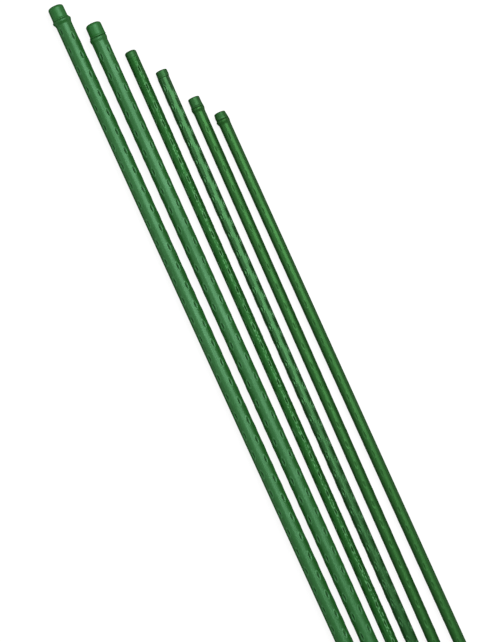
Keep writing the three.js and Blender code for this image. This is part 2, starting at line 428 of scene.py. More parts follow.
def new_material(name: str) -> tuple[Material, NodeWriter, Node]:
    """Makes a node material with its Principled shader.

    Args:
        name: The material's name.

    Returns:
        The material, a writer for its tree, and the shader node.
    """
    material = bpy.data.materials.new(name)
    material.use_nodes = True
    write = NodeWriter(material.node_tree)
    return material, write, material.node_tree.nodes["Principled BSDF"]


@dataclass(frozen=True)
class PlasticFinish:
    """A green plastic, drawn or moulded.

    Attributes:
        name: Name of its material.
        shade: Colour of most of the surface.
        deep: Colour that the shade drifts to.
        wear_and_highlight: Colour of scuffs and scrapes, and of the painted highlight on the dimples' lips.
        roughness: Roughness of the clean surface.
        gloss: Specular level of the shader.
        sheen: Tint of the gloss.
        streak_bump: Height of the drawn lines.
        pebble_bump: Height of the skin's pebble.
        dimple_shade: Strength of the painted shade in a coat's dimples; 0 where there are none.
        scraped: Whether the coat is scraped along its first row of dimples.
    """

    name: str
    shade: Colour
    deep: Colour
    wear_and_highlight: Colour
    roughness: float
    gloss: float
    sheen: Colour
    streak_bump: float
    pebble_bump: float
    dimple_shade: float = 0.0
    scraped: bool = False

    IOR = 1.5
    LINES_PER_METRE = 1400.0
    DRIFTS_PER_METRE = 38.0
    PEBBLES_PER_METRE = 2600.0
    MARKS_PER_METRE = 700.0

    # How strongly each effect shows in the colour, with a painted highlight on the dimples' lips and painted
    # shade in their hollows
    DRIFT_SHARE = 0.6
    STREAK_SHARE = 0.4
    SCUFF_SHARE = 0.35
    LIP_HIGHLIGHT_SHARES = (0.5, 0.9)
    HOLLOW_RANGE = (0.25, 0.9)
    DIMPLE_SHADE_SHARES = (0.7, 1.0)
    PAINTED_SHADE_LEVEL = 0.25

    # How much each effect adds to the roughness, and to the height
    STREAK_ROUGH = 0.1
    DRIFT_ROUGH = 0.1
    SCUFF_ROUGH = 0.16
    DIMPLE_SHADE_ROUGH = 0.5
    SCRAPE_BUMP = 0.06 * MM

    # The gloss is duller where the surface turns away from the view
    FACING_BLEND = 0.5
    TURNED_RANGE = (0.3, 0.55)
    TURNED_ROUGH = 0.63

    def material(self, effects: SurfaceEffects) -> Material:
        """Builds the finish's material.

        Args:
            effects: The shared shader groups.

        Returns:
            The material.
        """
        material, write, shader = new_material(self.name)
        place = write.add("ShaderNodeTexCoord").outputs["Object"]
        streak = write.group(effects.streaks,
                             {"Place": place, "Lines Per Metre": self.LINES_PER_METRE})["Streak"]
        mottle = write.group(effects.mottle, {"Place": place, "Drift Scale": self.DRIFTS_PER_METRE,
                                              "Pebble Scale": self.PEBBLES_PER_METRE})
        drift, pebble = mottle["Drift"], mottle["Pebble"]
        scuff = write.group(effects.scuffs,
                            {"Place": place, "Marks Per Metre": self.MARKS_PER_METRE})["Scuff"]

        wear_and_highlight = opaque(self.wear_and_highlight)
        shift = write.math("MULTIPLY_ADD", drift, self.DRIFT_SHARE,
                           write.math("MULTIPLY", streak, self.STREAK_SHARE))
        colour = write.mixed(shift, opaque(self.shade), opaque(self.deep))
        colour = write.mixed(write.math("MULTIPLY", scuff, self.SCUFF_SHARE), colour, wear_and_highlight)
        height = write.math("MULTIPLY", streak, self.streak_bump)
        height = write.math("MULTIPLY_ADD", pebble, self.pebble_bump, height)
        rough = write.math("MULTIPLY_ADD", streak, self.STREAK_ROUGH, self.roughness - self.STREAK_ROUGH)
        rough = write.math("MULTIPLY_ADD", drift, self.DRIFT_ROUGH, rough)
        rough = write.math("MULTIPLY_ADD", scuff, self.SCUFF_ROUGH, rough)
        if self.scraped:
            row = {"Along": write.attribute("along"), "Side": write.attribute("row_side")}
            scrape = write.group(effects.scrapes, row)["Scrape"]
            colour = write.mixed(scrape, colour, wear_and_highlight)
            height = write.math("MULTIPLY_ADD", scrape, self.SCRAPE_BUMP, height)
        if self.dimple_shade > 0.0:
            # Painted highlight: the dimples' lips are lightened towards the colour of the scuffs
            lip_highlight = write.math("MULTIPLY", write.attribute("dimple_lip"),
                                write.stretched(pebble, 0.0, 1.0, *self.LIP_HIGHLIGHT_SHARES))
            colour = write.mixed(lip_highlight, colour, wear_and_highlight)
            # Painted shade: the dimples' hollows are darkened towards a quarter of the deep shade, and made
            # rougher there
            hollow = write.stretched(write.attribute("dimple"), *self.HOLLOW_RANGE, 0.0, self.dimple_shade)
            dimple_shade = write.math("MULTIPLY", hollow, write.stretched(pebble, 0.0, 1.0, *self.DIMPLE_SHADE_SHARES))
            painted_shade_colour = tuple(self.PAINTED_SHADE_LEVEL * part for part in self.deep)
            colour = write.mixed(dimple_shade, colour, opaque(painted_shade_colour))
            rough = write.math("MULTIPLY_ADD", dimple_shade, self.DIMPLE_SHADE_ROUGH, rough)
        facing = write.add("ShaderNodeLayerWeight", {"Blend": self.FACING_BLEND}).outputs["Facing"]
        rough = write.math("ADD", rough, write.stretched(facing, *self.TURNED_RANGE, 0.0, self.TURNED_ROUGH))

        bump = write.add("ShaderNodeBump", {"Height": height, "Strength": 1.0, "Distance": 1.0})
        write.feed(shader.inputs, {
            "Base Color": colour, "Roughness": rough, "Normal": bump.outputs["Normal"], "IOR": self.IOR,
            "Specular IOR Level": self.gloss, "Specular Tint": opaque(self.sheen),
        })
        return material


@dataclass(frozen=True)
class SteelFinish:
    """The drawn steel of the core tubes.

    Attributes:
        name: Name of its material.
        bright: Colour of the drawn metal.
        dull: Colour of its tarnish.
        roughness: Roughness of the bright metal.
    """

    name: str
    bright: Colour
    dull: Colour
    roughness: float

    LINES_PER_METRE = 2600.0
    DRIFTS_PER_METRE = 60.0
    STREAK_ROUGH = 0.2

    def material(self, effects: SurfaceEffects) -> Material:
        """Builds the steel's material.

        Args:
            effects: The shared shader groups.

        Returns:
            The material.
        """
        material, write, shader = new_material(self.name)
        place = write.add("ShaderNodeTexCoord").outputs["Object"]
        streak = write.group(effects.streaks,
                             {"Place": place, "Lines Per Metre": self.LINES_PER_METRE})["Streak"]
        drift = write.group(effects.mottle, {"Place": place, "Drift Scale": self.DRIFTS_PER_METRE})["Drift"]
        colour = write.mixed(drift, opaque(self.bright), opaque(self.dull))
        rough = write.math("MULTIPLY_ADD", streak, self.STREAK_ROUGH, self.roughness)
        write.feed(shader.inputs, {"Base Color": colour, "Roughness": rough, "Metallic": 1.0})
        return material


class FinishShelf:
    """Keeps one material for each finish.

    Attributes:
        effects: The shared shader groups.
        made: The materials, by name.
    """

    def __init__(self) -> None:
        """Builds the shared effects."""
        self.effects = SurfaceEffects()
        self.made: dict[str, Material] = {}

    def material(self, finish: PlasticFinish | SteelFinish) -> Material:
        """Gives a finish's material, made when it is first asked for.

        Args:
            finish: The finish.

        Returns:
            Its material.
        """
        if finish.name not in self.made:
            self.made[finish.name] = finish.material(self.effects)
        return self.made[finish.name]


def turned_mesh(name: str, outline: Outline, columns: Sequence[float], asides: Sequence[float]) -> Mesh:
    """Turns an outline about the Y axis.

    Args:
        name: The mesh's name.
        outline: Radius and height of each point, running up on the outside. It starts and ends on the axis,
            or closes on itself without repeating its first point.
        columns: Angles round the axis, rising, from +Z towards +X.
        asides: How far to the right of the axis each point's ring is set.

    Returns:
        A closed mesh with its faces pointing out, smooth shaded.
    """
    closed = outline[0][0] > 0.0
    angles = np.asarray(columns)
    count = len(angles)
    points: list[tuple[float, float, float]] = []
    rings: list[list[int]] = []
    for (radius, height), aside in zip(outline, asides):
        start = len(points)
        if radius > 0.0:
            points.extend(zip(aside + radius * np.sin(angles), [height] * count, radius * np.cos(angles)))
            rings.append(list(range(start, start + count)))
        else:
            points.append((aside, height, 0.0))
            rings.append([start] * count)
    pairs = list(zip(rings, rings[1:]))
    if closed:
        pairs.append((rings[-1], rings[0]))
    faces: list[tuple[int, ...]] = []
    for low, high in pairs:
        for column in range(count):
            after = (column + 1) % count
            corners = (low[column], low[after], high[after], high[column])
            faces.append(tuple(dict.fromkeys(corners)))
    mesh = bpy.data.meshes.new(name)
    mesh.from_pydata(points, [], faces)
    mesh.shade_smooth()
    mesh.validate()
    return mesh


def arc(centre: tuple[float, float], radii: tuple[float, float], start: float, end: float,
        steps: int = ARC_STEPS) -> Outline:
    """Gives the points of an elliptical arc in an outline.

    Args:
        centre: Radius and height of the arc's centre.
        radii: Its half-width and half-height.
        start: Angle of its first point in degrees, from outwards towards up.
        end: Angle of its last point.
        steps: Number of stretches.

    Returns:
        The points, with both ends.
    """
    turns = np.radians(np.linspace(start, end, steps + 1))
    return [(centre[0] + radii[0] * math.cos(turn), centre[1] + radii[1] * math.sin(turn)) for turn in turns]


@dataclass(frozen=True)
class Lay:
    """Where one stake lies in the set.

    Attributes:
        head: The middle of its head end.
        along: Direction from its foot to its head.
    """

    head: Vector
    along: Vector

    def place(self, mesh: Mesh) -> None:
        """Moves a mesh from the stake's own frame to its place in the set.

        Args:
            mesh: The mesh.
        """
        up = Vector((0.0, 0.0, 1.0))
        across = self.along.cross(up)
        turn = Matrix((across, self.along, up)).transposed().to_4x4()
        mesh.transform(Matrix.Translation(self.head) @ turn)


@dataclass
class DimplePress:
    """A Geometry Nodes tree that presses rows of dimples into a coat's skin.

    It stores four values on the skin for the finishes: dimple and dimple_lip are 1 at a hollow's middle and
    on its lip, along is the place along the stake, and row_side the distance from the first row.

    Attributes:
        tree: The tree, built once for all the coats.
    """

    tree: NodeTree = field(init=False)

    # Place and half-width of the lip's crest, where a dimple's edge is 1
    LIP_AT = 1.22
    LIP_HALF = 0.22
    SIZES = ("First", "Highest", "Lowest", "Pitch", "Stagger", "Length", "Width", "Depth", "Lip", "Rows",
             "Turn", "Skin Radius")

    def __post_init__(self) -> None:
        """Builds the tree."""
        write, given, taken = new_group("dimpled_coat", "GeometryNodeTree",
                                        ("Geometry", "Material", *self.SIZES), ("Geometry",))
        self.tree = write.tree
        self.tree.is_modifier = True
        position = write.add("GeometryNodeInputPosition").outputs[0]
        spot = write.add("ShaderNodeSeparateXYZ", {0: position}).outputs
        reach = write.math("SQRT", write.math("ADD", write.math("MULTIPLY", spot["X"], spot["X"]),
                                              write.math("MULTIPLY", spot["Z"], spot["Z"])))
        turn = write.math("SUBTRACT", write.math("ARCTAN2", spot["X"], spot["Z"]), given["Turn"])
        distance, within = self._nearest(write, given, spot["Y"], turn, reach)
        outside = write.math("MULTIPLY", within, write.math("GREATER_THAN", reach, given["Skin Radius"]))
        bowl = write.math("SUBTRACT", 1.0, write.math("MULTIPLY", distance, distance))
        hollow = write.math("MULTIPLY", write.math("MAXIMUM", bowl, 0.0), outside)
        off_crest = write.math("MULTIPLY", write.math("SUBTRACT", distance, self.LIP_AT), 1 / self.LIP_HALF)
        crest = write.math("SUBTRACT", 1.0, write.math("MULTIPLY", off_crest, off_crest))
        lip = write.math("MULTIPLY", write.math("MAXIMUM", crest, 0.0), outside)
        lift = write.math("SUBTRACT", write.math("MULTIPLY", lip, given["Lip"]),
                          write.math("MULTIPLY", hollow, given["Depth"]))
        outwards = write.math("DIVIDE", lift, reach)
        offset = write.add("ShaderNodeCombineXYZ", {"X": write.math("MULTIPLY", spot["X"], outwards),
                                                    "Z": write.math("MULTIPLY", spot["Z"], outwards)})
        side = write.math("MULTIPLY", turn, reach)
        stored = {"dimple": hollow, "dimple_lip": lip, "along": spot["Y"], "row_side": side}
        geometry = given["Geometry"]
        for name, value in stored.items():
            geometry = write.add("GeometryNodeStoreNamedAttribute",
                                 {"Geometry": geometry, "Name": name, "Value": value},
                                 data_type="FLOAT", domain="POINT").outputs[0]
        pressed = write.add("GeometryNodeSetPosition", {"Geometry": geometry, "Offset": offset.outputs[0]})
        real = write.add("GeometryNodeRealizeInstances", {"Geometry": pressed.outputs[0]})
        dressed = write.add("GeometryNodeSetMaterial",
                            {"Geometry": real.outputs[0], "Material": given["Material"]})
        write.feed(taken, {"Geometry": dressed.outputs[0]})

    def _nearest(self, write: NodeWriter, given: NodeOutputs, level: NodeSocket, turn: NodeSocket,
                 reach: NodeSocket) -> tuple[NodeSocket, NodeSocket]:
        """Writes the formula for how far a point lies from its nearest dimple.

        Args:
            write: The tree's writer.
            given: The tree's inputs.
            level: The point's place along the stake.
            turn: Its angle from the first row.
            reach: Its distance from the axis.

        Returns:
            The distance from the dimple's middle, which is 1 at its edge, and whether there is such a dimple.
        """
        row_turn = write.math("DIVIDE", 2 * math.pi, given["Rows"])
        row = write.math("ROUND", write.math("DIVIDE", turn, row_turn))
        aside = write.math("SUBTRACT", turn, write.math("MULTIPLY", row, row_turn))
        across = write.math("MULTIPLY", aside, reach)
        ahead = write.math("MULTIPLY", row, write.math("MULTIPLY", given["Pitch"], given["Stagger"]))
        first = write.math("ADD", given["First"], ahead)
        below = write.math("SUBTRACT", first, level)
        number = write.math("ROUND", write.math("DIVIDE", below, given["Pitch"]))
        middle = write.math("SUBTRACT", first, write.math("MULTIPLY", number, given["Pitch"]))
        within = write.math("MULTIPLY", write.math("LESS_THAN", middle, given["Highest"]),
                            write.math("GREATER_THAN", middle, given["Lowest"]))
        along = write.math("SUBTRACT", level, middle)
        far_along, far_across = (
            write.math("POWER", write.math("DIVIDE", write.math("MULTIPLY", part, 2.0), given[size]), 2.0)
            for part, size in ((along, "Length"), (across, "Width"))
        )
        return write.math("SQRT", write.math("ADD", far_along, far_across)), within

    def press(self, mesh: Mesh, sizes: dict[str, float], material: Material) -> Mesh:
        """Runs the tree on a coat.

        Args:
            mesh: The plain coat, in its stake's own frame.
            sizes: A value for each of the tree's sizes.
            material: The coat's finish.

        Returns:
            A plain mesh with the dimples in it.
        """
        name = mesh.name
        blank = bpy.data.objects.new(f"{name}_blank", mesh)
        bpy.context.collection.objects.link(blank)
        modifier = blank.modifiers.new("dimples", "NODES")
        modifier.node_group = self.tree
        for item in self.tree.interface.items_tree:
            if item.in_out == "INPUT" and item.name in sizes:
                modifier[item.identifier] = sizes[item.name]
            elif item.in_out == "INPUT" and item.name == "Material":
                modifier[item.identifier] = material
        evaluated = blank.evaluated_get(bpy.context.evaluated_depsgraph_get())
        result = bpy.data.meshes.new_from_object(evaluated)
        bpy.data.objects.remove(blank)
        bpy.data.meshes.remove(mesh)
        result.name = name
        return result


@dataclass
class TurnedPiece:
    """A piece of a stake that is turned about the stake's axis.

    Attributes:
        shaft: Sizes of the shaft.
        head: Shape of the stake's head.
    """

    shaft: ShaftSize
    head: HeadShape

    def outline(self) -> Outline:
        """Gives the piece's outline."""
        raise NotImplementedError

    def columns(self) -> list[float]:
        """Gives the mesh's angles round the axis, evenly spaced."""
        return [2 * math.pi * step / ROUND_COLUMNS for step in range(ROUND_COLUMNS)]

    def aside(self, radius: float, height: float) -> float:
        """Gives how far to the right of the axis a ring of this radius and height is set."""
        return 0.0

    def mesh(self, name: str) -> Mesh:
        """Builds the piece's mesh in its stake's own frame."""
        outline = self.outline()
        return turned_mesh(name, outline, self.columns(), [self.aside(*point) for point in outline])


@dataclass
class Coat(TurnedPiece):
    """The extruded coat of one stake, with its end ring and rows of dimples.

    Attributes:
        rows: How its dimples lie.
    """

    rows: DimpleRows

    MARGIN = 0.7 * MM

    # Columns across a dimple in half-widths of it, columns between two rows, and distance between rings
    ACROSS_STEPS = (-1.45, -1.2, -0.85, -0.45, 0.0, 0.45, 0.85, 1.2, 1.45)
    GAP_COLUMNS = 4
    LEVEL_STEP = 0.45 * MM

    @property
    def top(self) -> float:
        """Height of the coat's upper end."""
        return -self.head.length - SEAT_GAP

    @property
    def foot(self) -> float:
        """Height of the coat's lower end."""
        return -STAKE_LENGTH + CONE_LENGTH + COLLAR_LENGTH + SEAT_GAP

    @property
    def highest(self) -> float:
        """Height that no dimple's middle lies above."""
        return self.top - KNUCKLE_SHOULDER - KNUCKLE_FLARE - self.MARGIN - self.rows.length / 2

    @property
    def lowest(self) -> float:
        """Height that no dimple's middle lies below."""
        return self.foot + 2 * self.head.lip + self.MARGIN + self.rows.length / 2

    def columns(self) -> list[float]:
        """Gives the mesh's angles: close together across each row of dimples, wider between the rows.

        Returns:
            The angles, rising.
        """
        half = 0.5 * self.shaft.dimple_width / self.shaft.radius
        edge = self.ACROSS_STEPS[-1] * half
        row_turn = 2 * math.pi / self.rows.count
        gap = row_turn - 2 * edge
        angles = []
        for row in range(self.rows.count):
            middle = math.radians(self.rows.turn) + row * row_turn
            angles.extend(middle + step * half for step in self.ACROSS_STEPS)
            angles.extend(middle + edge + gap * (step + 1) / (self.GAP_COLUMNS + 1)
                          for step in range(self.GAP_COLUMNS))
        return angles

    def levels(self) -> list[float]:
        """Gives the heights of the mesh's rings along the dimples.

        Returns:
            The heights, rising.
        """
        reach = (self.rows.length + self.MARGIN) / 2
        low, high = self.lowest - reach, self.highest + reach
        return np.linspace(low, high, round((high - low) / self.LEVEL_STEP)).tolist()

    def aside(self, radius: float, height: float) -> float:
        """Gives how far to the right of the axis a ring is set, which grows up to the end ring's crest."""
        rise = max(self.head.knuckle, COAT_WALL)
        return self.head.crest_aside * max(0.0, (radius - self.shaft.radius) / rise)

    def outline(self) -> Outline:
        """Gives the outline of the coat's wall.

        Returns:
            The points, up the outside and down the bore.
        """
        radius = self.shaft.radius
        lip = self.head.lip
        points: Outline = [(self.shaft.bore, self.foot)]
        points += arc((radius - lip, self.foot + lip), (lip, lip), -90, 0)
        points.append((radius, self.foot + 2 * lip))
        points += [(radius, height) for height in self.levels()]
        if self.head.knuckle > 0.0:
            points += self._knuckle()
        else:
            points.append((radius, self.top - 2 * lip))
            points += arc((radius - lip, self.top - lip), (lip, lip), 0, 90)
        points.append((self.shaft.bore, self.top))
        return points

    def _knuckle(self) -> Outline:
        """Gives the end ring's outline.

        Returns:
            The points of an easy flare, a crest and a round shoulder.
        """
        rise = self.head.knuckle
        crest = self.top - KNUCKLE_SHOULDER
        start = crest - KNUCKLE_FLARE
        flare = [
            (self.shaft.radius + rise * (1 - math.cos(math.pi * share)) / 2, start + KNUCKLE_FLARE * share)
            for share in np.linspace(0.0, 1.0, 2 * ARC_STEPS, endpoint=False)
        ]
        return flare + arc((self.shaft.radius, crest), (rise, KNUCKLE_SHOULDER), 0, 90, 2 * ARC_STEPS)

    def pressed(self, name: str, press: DimplePress, material: Material) -> Mesh:
        """Builds the coat with its dimples.

        Args:
            name: The mesh's name.
            press: The tree that presses the dimples.
            material: The coat's finish.

        Returns:
            The coat's mesh in its stake's own frame.
        """
        shaft, rows = self.shaft, self.rows
        sizes = {
            "First": -rows.start, "Highest": self.highest, "Lowest": self.lowest, "Pitch": rows.pitch,
            "Stagger": rows.stagger, "Length": rows.length, "Width": shaft.dimple_width,
            "Depth": rows.press * shaft.dimple_depth, "Lip": rows.press * rows.lip, "Rows": float(rows.count),
            "Turn": math.radians(rows.turn), "Skin Radius": shaft.radius - COAT_WALL / 2,
        }
        return press.press(self.mesh(name), sizes, material)


@dataclass
class Cap(TurnedPiece):
    """The moulded cap at a stake's head.

    Attributes:
        stem_length: Length of the stem in the core tube.
        end_flat: Radius of the flat at the middle of the end.
        gate_radius: Radius of the sunk mark where the mould was filled.
        gate_depth: Depth of that mark.
        skirt_height: Height over which the head spreads at its seat.
        seat_aside: Share of the head's shift to the side that it has at its seat.
    """

    stem_length: float = 14 * MM
    end_flat: float = 2.0 * MM
    gate_radius: float = 0.6 * MM
    gate_depth: float = 0.15 * MM
    skirt_height: float = 1.4 * MM
    seat_aside: float = 0.4

    @property
    def seat(self) -> float:
        """Height of the head's underside."""
        return -self.head.length - SEAT_GAP + self.head.seam

    def outline(self) -> Outline:
        """Gives the cap's outline.

        Returns:
            The points, from the end of its stem to the middle of its end.
        """
        seat, lip, skirt, stem = self.seat, self.head.lip, self.head.skirt, self.shaft.stem
        stem_end = -self.head.length - self.stem_length
        base = self.shaft.radius - self.head.inset
        top = base - self.head.taper
        points: Outline = [(0.0, stem_end), (stem - STEM_CHAMFER, stem_end), (stem, stem_end + STEM_CHAMFER)]
        points += [(stem, seat), (base + skirt - 2 * lip, seat)]
        points += arc((base + skirt - lip, seat + lip), (lip, lip), -90, 0)
        low, waist, high = seat + 2 * lip, seat + self.skirt_height, -self.head.crown
        for share in np.linspace(0.0, 1.0, ARC_STEPS, endpoint=False):
            spread = skirt * (1 + math.cos(math.pi * share)) / 2
            points.append((base + spread, low + (waist - low) * share))
        for share in np.linspace(0.0, 1.0, ARC_STEPS, endpoint=False):
            points.append((base + (top - base) * share, waist + (high - waist) * share))
        points += arc((self.end_flat, high), (top - self.end_flat, self.head.crown), 0, 90, 2 * ARC_STEPS)
        points += arc((self.gate_radius, 0.0), (self.gate_depth, self.gate_depth), 0, -90, ARC_STEPS // 2)
        points.append((0.0, -self.gate_depth))
        return points

    def aside(self, radius: float, height: float) -> float:
        """Gives how far to the right of the axis a ring of the cap is set.

        Args:
            radius: The ring's radius.
            height: Its height.

        Returns:
            The distance; 0 on the stem.
        """
        if height < self.seat + STEM_FIT and radius < self.shaft.stem + STEM_FIT:
            return 0.0
        share = min(max((height - self.seat) / self.skirt_height, 0.0), 1.0)
        return self.head.aside * (self.seat_aside + (1 - self.seat_aside) * share)


@dataclass
class GroundPoint(TurnedPiece):
    """The moulded point at a stake's foot. Its collar is as wide as the coat's end ring.

    Attributes:
        stem_length: Length of the stem in the core tube.
        tip: Radius of the blunt tip.
        edge: Radius on the collar's edges.
    """

    stem_length: float = 18 * MM
    tip: float = 0.8 * MM
    edge: float = 0.5 * MM

    def outline(self) -> Outline:
        """Gives the point's outline.

        Returns:
            The points, from its tip to the end of its stem.
        """
        tip, edge, stem = self.tip, self.edge, self.shaft.stem
        wide = self.shaft.radius + self.head.knuckle
        low = -STAKE_LENGTH + tip
        cone_top = -STAKE_LENGTH + CONE_LENGTH
        top = cone_top + COLLAR_LENGTH
        stem_end = top + self.stem_length
        points: Outline = [(0.0, -STAKE_LENGTH)]
        points += arc((0.0, low), (tip, tip), -90, 0)[1:]
        points += [(tip + (wide - edge - tip) * share, low + (cone_top - low) * share)
                   for share in np.linspace(0.0, 1.0, 3 * ARC_STEPS)[1:]]
        points += arc((wide - edge, cone_top + edge), (edge, edge), -45, 0)
        points += [(wide, cone_top + 2 * edge), (wide, top - 2 * edge)]
        points += arc((wide - edge, top - edge), (edge, edge), 0, 90)
        points += [(stem, top), (stem, stem_end - STEM_CHAMFER)]
        points += [(stem - STEM_CHAMFER, stem_end), (0.0, stem_end)]
        return points


@dataclass
class Stake:
    """One stake of the set.

    Attributes:
        number: Its place in the row, from 1 at the left.
        gauge: Its thickness.
        style: The style of its head.
        rows: How the dimples lie on its coat.
        coat_finish: Finish of its coat.
        cap_finish: Finish of its cap.
        point_finish: Finish of its ground point.
    """

    number: int
    gauge: Gauge
    style: HeadStyle
    rows: DimpleRows
    coat_finish: PlasticFinish
    cap_finish: PlasticFinish
    point_finish: PlasticFinish

    @property
    def body(self) -> str:
        """Name of the stake's body in the frame."""
        return f"stake_{self.number}"

    def lay(self, record: dict[str, Any]) -> Lay:
        """Reads where the stake lies from the mount on its head."""
        mount = next(item for item in record["mounts"] if item["name"] == f"head_{self.number}")
        return Lay(Vector(mount["pos_m"]), Vector(mount["axis"]))

    def build(self, frame: dict[str, Any], press: DimplePress, shelf: FinishShelf) -> None:
        """Builds the stake's pieces, dresses them and sets them in the frame.

        Args:
            frame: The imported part, as loaded.
            press: The tree that presses the coat's dimples.
            shelf: The materials.
        """
        shaft, head = self.gauge.value, self.style.value
        lay = self.lay(frame["record"])
        finishes = {"coat": self.coat_finish, "cap": self.cap_finish, "point": self.point_finish}
        materials = {node: shelf.material(finish) for node, finish in finishes.items()}
        coat = Coat(shaft, head, self.rows)
        meshes = {
            "coat": coat.pressed(f"{self.body}_green_coat", press, materials["coat"]),
            "cap": Cap(shaft, head).mesh(f"{self.body}_head_cap"),
            "point": GroundPoint(shaft, head).mesh(f"{self.body}_ground_point"),
        }
        for node, mesh in meshes.items():
            lay.place(mesh)
            mesh.materials.clear()
            mesh.materials.append(materials[node])
            piece = bpy.data.objects.new(mesh.name, mesh)
            bpy.context.collection.objects.link(piece)
            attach(piece, self.body)
            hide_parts(f"{self.body}_{node}")
            LOG.info("%s: %d faces", piece.name, len(mesh.polygons))
        tube = frame["nodes"][f"{self.body}_core_tube"]
        tube.data.materials.clear()
        tube.data.materials.append(shelf.material(DRAWN_STEEL))


@dataclass
class Softbox:
    """A rectangular lamp that points down at the set.

    Attributes:
        name: Name of the lamp.
        place: Where it hangs.
        aim: The point that it faces.
        size: Its width across the stakes and its length along them.
        power: Its power in watts.
    """

    name: str
    place: tuple[float, float, float]
    aim: tuple[float, float, float]
    size: tuple[float, float]
    power: float

    def hang(self) -> None:
        """Makes the lamp."""
        light = bpy.data.lights.new(self.name, "AREA")
        light.shape = "RECTANGLE"
        light.size, light.size_y = self.size
        light.energy = self.power
        lamp = bpy.data.objects.new(self.name, light)
        lamp.location = self.place
        lamp.rotation_euler = (Vector(self.aim) - Vector(self.place)).to_track_quat("-Z", "Y").to_euler()
        bpy.context.collection.objects.link(lamp)


@dataclass
class Studio:
    """The pale floor, the lamps and the camera.

    Attributes:
        aim_from_head: The floor at the middle of the picture, seen from the third stake's head end.
        azimuth: Turn of the view from looking along +Y, in degrees.
        elevation: Height of the view above the floor, in degrees.
        distance: Distance from the camera to the aim.
        lens: Focal length on the sensor's long side, in millimetres.
        floor_size: Side of the floor.
        floor_glow: Share of the floor's white that takes no shadow.
        floor_catch: Grey under the glow that takes the shadow.
        floor_bounce: Grey that the floor has for the light that it throws back at the stakes.
        air_light: Strength of the even light from all round.
        lamps: The lamps.
    """

    aim_from_head: tuple[float, float] = (0.42 * MM, -196.8 * MM)
    azimuth: float = -24.09
    elevation: float = 88.0
    distance: float = 1.9934
    lens: float = 168.22
    floor_size: float = 24.0
    floor_glow: float = 0.86
    floor_catch: float = 0.2
    floor_bounce: float = 0.06
    air_light: float = 0.02
    lamps: tuple[Softbox, ...] = (
        Softbox("key_softbox", place=(1.05, 0.6, 2.49), aim=(0.0, 0.5, 0.0), size=(1.3, 2.8), power=85.0),
        Softbox("fill_softbox", place=(-1.28, 0.3, 2.38), aim=(0.0, 0.1, 0.0), size=(0.7, 4.06), power=20.0),
    )

    def build(self, head: Vector) -> None:
        """Sets up the floor, the lamps, the world and the camera.

        Args:
            head: The third stake's head end.
        """
        self._floor()
        self._world()
        for lamp in self.lamps:
            lamp.hang()
        self._camera(Vector((head.x + self.aim_from_head[0], head.y + self.aim_from_head[1], 0.0)))
        bpy.context.scene.view_settings.view_transform = "Standard"

    @staticmethod
    def _seen(write: NodeWriter) -> NodeSocket:
        """Tells which rays see the white surroundings: the camera's, mirrored ones and those through glass.

        Args:
            write: Writer for the tree that asks.

        Returns:
            A socket that is 1 for those rays and 0 for the others.
        """
        path = write.add("ShaderNodeLightPath").outputs
        mirrored = write.math("MAXIMUM", path["Is Glossy Ray"], path["Is Transmission Ray"])
        return write.math("MAXIMUM", path["Is Camera Ray"], mirrored)

    def _floor(self) -> None:
        """Lays the floor: white where it is seen, with the stakes' own shadow on it."""
        half = self.floor_size / 2
        mesh = bpy.data.meshes.new("studio_floor")
        corners = [(-half, -half, 0.0), (half, -half, 0.0), (half, half, 0.0), (-half, half, 0.0)]
        mesh.from_pydata(corners, [], [(0, 1, 2, 3)])
        floor = bpy.data.objects.new("studio_floor", mesh)
        bpy.context.collection.objects.link(floor)
        material, write, shader = new_material("white_floor")
        material.node_tree.nodes.remove(shader)
        seen = self._seen(write)
        glow = write.add("ShaderNodeEmission", {"Color": grey(self.floor_glow), "Strength": 1.0})
        catch = write.add("ShaderNodeBsdfDiffuse", {"Color": grey(self.floor_catch)})
        shown = write.add("ShaderNodeAddShader", {0: glow.outputs[0], 1: catch.outputs[0]})
        unseen = write.add("ShaderNodeBsdfDiffuse", {"Color": grey(self.floor_bounce)})
        choice = write.add("ShaderNodeMixShader", {0: seen, 1: unseen.outputs[0], 2: shown.outputs[0]})
        end = material.node_tree.nodes["Material Output"]
        write.feed(end.inputs, {"Surface": choice.outputs[0]})
        mesh.materials.append(material)

    def _world(self) -> None:
        """Sets a dim even light from all round, white where it is seen."""
        world = bpy.data.worlds.new("studio_air")
        world.use_nodes = True
        write = NodeWriter(world.node_tree)
        seen = self._seen(write)
        back = world.node_tree.nodes["Background"]
        strength = write.math("MULTIPLY_ADD", seen, 1.0 - self.air_light, self.air_light)
        write.feed(back.inputs, {"Color": grey(1.0), "Strength": strength})
        bpy.context.scene.world = world

    def _camera(self, aim: Vector) -> None:
        """Sets the camera at the photograph's viewing angle.

        Args:
            aim: The point of the floor that it faces.
        """
        turn, lift = math.radians(self.azimuth), math.radians(self.elevation)
        back = Vector((math.sin(turn) * math.cos(lift), -math.cos(turn) * math.cos(lift), math.sin(lift)))
        data = bpy.data.cameras.new("photo_camera")
        data.lens = self.lens
        camera = bpy.data.objects.new("photo_camera", data)
        camera.location = aim + back * self.distance
        camera.rotation_euler = (-back).to_track_quat("-Z", "Y").to_euler()
        bpy.context.collection.objects.link(camera)
        bpy.context.scene.camera = camera


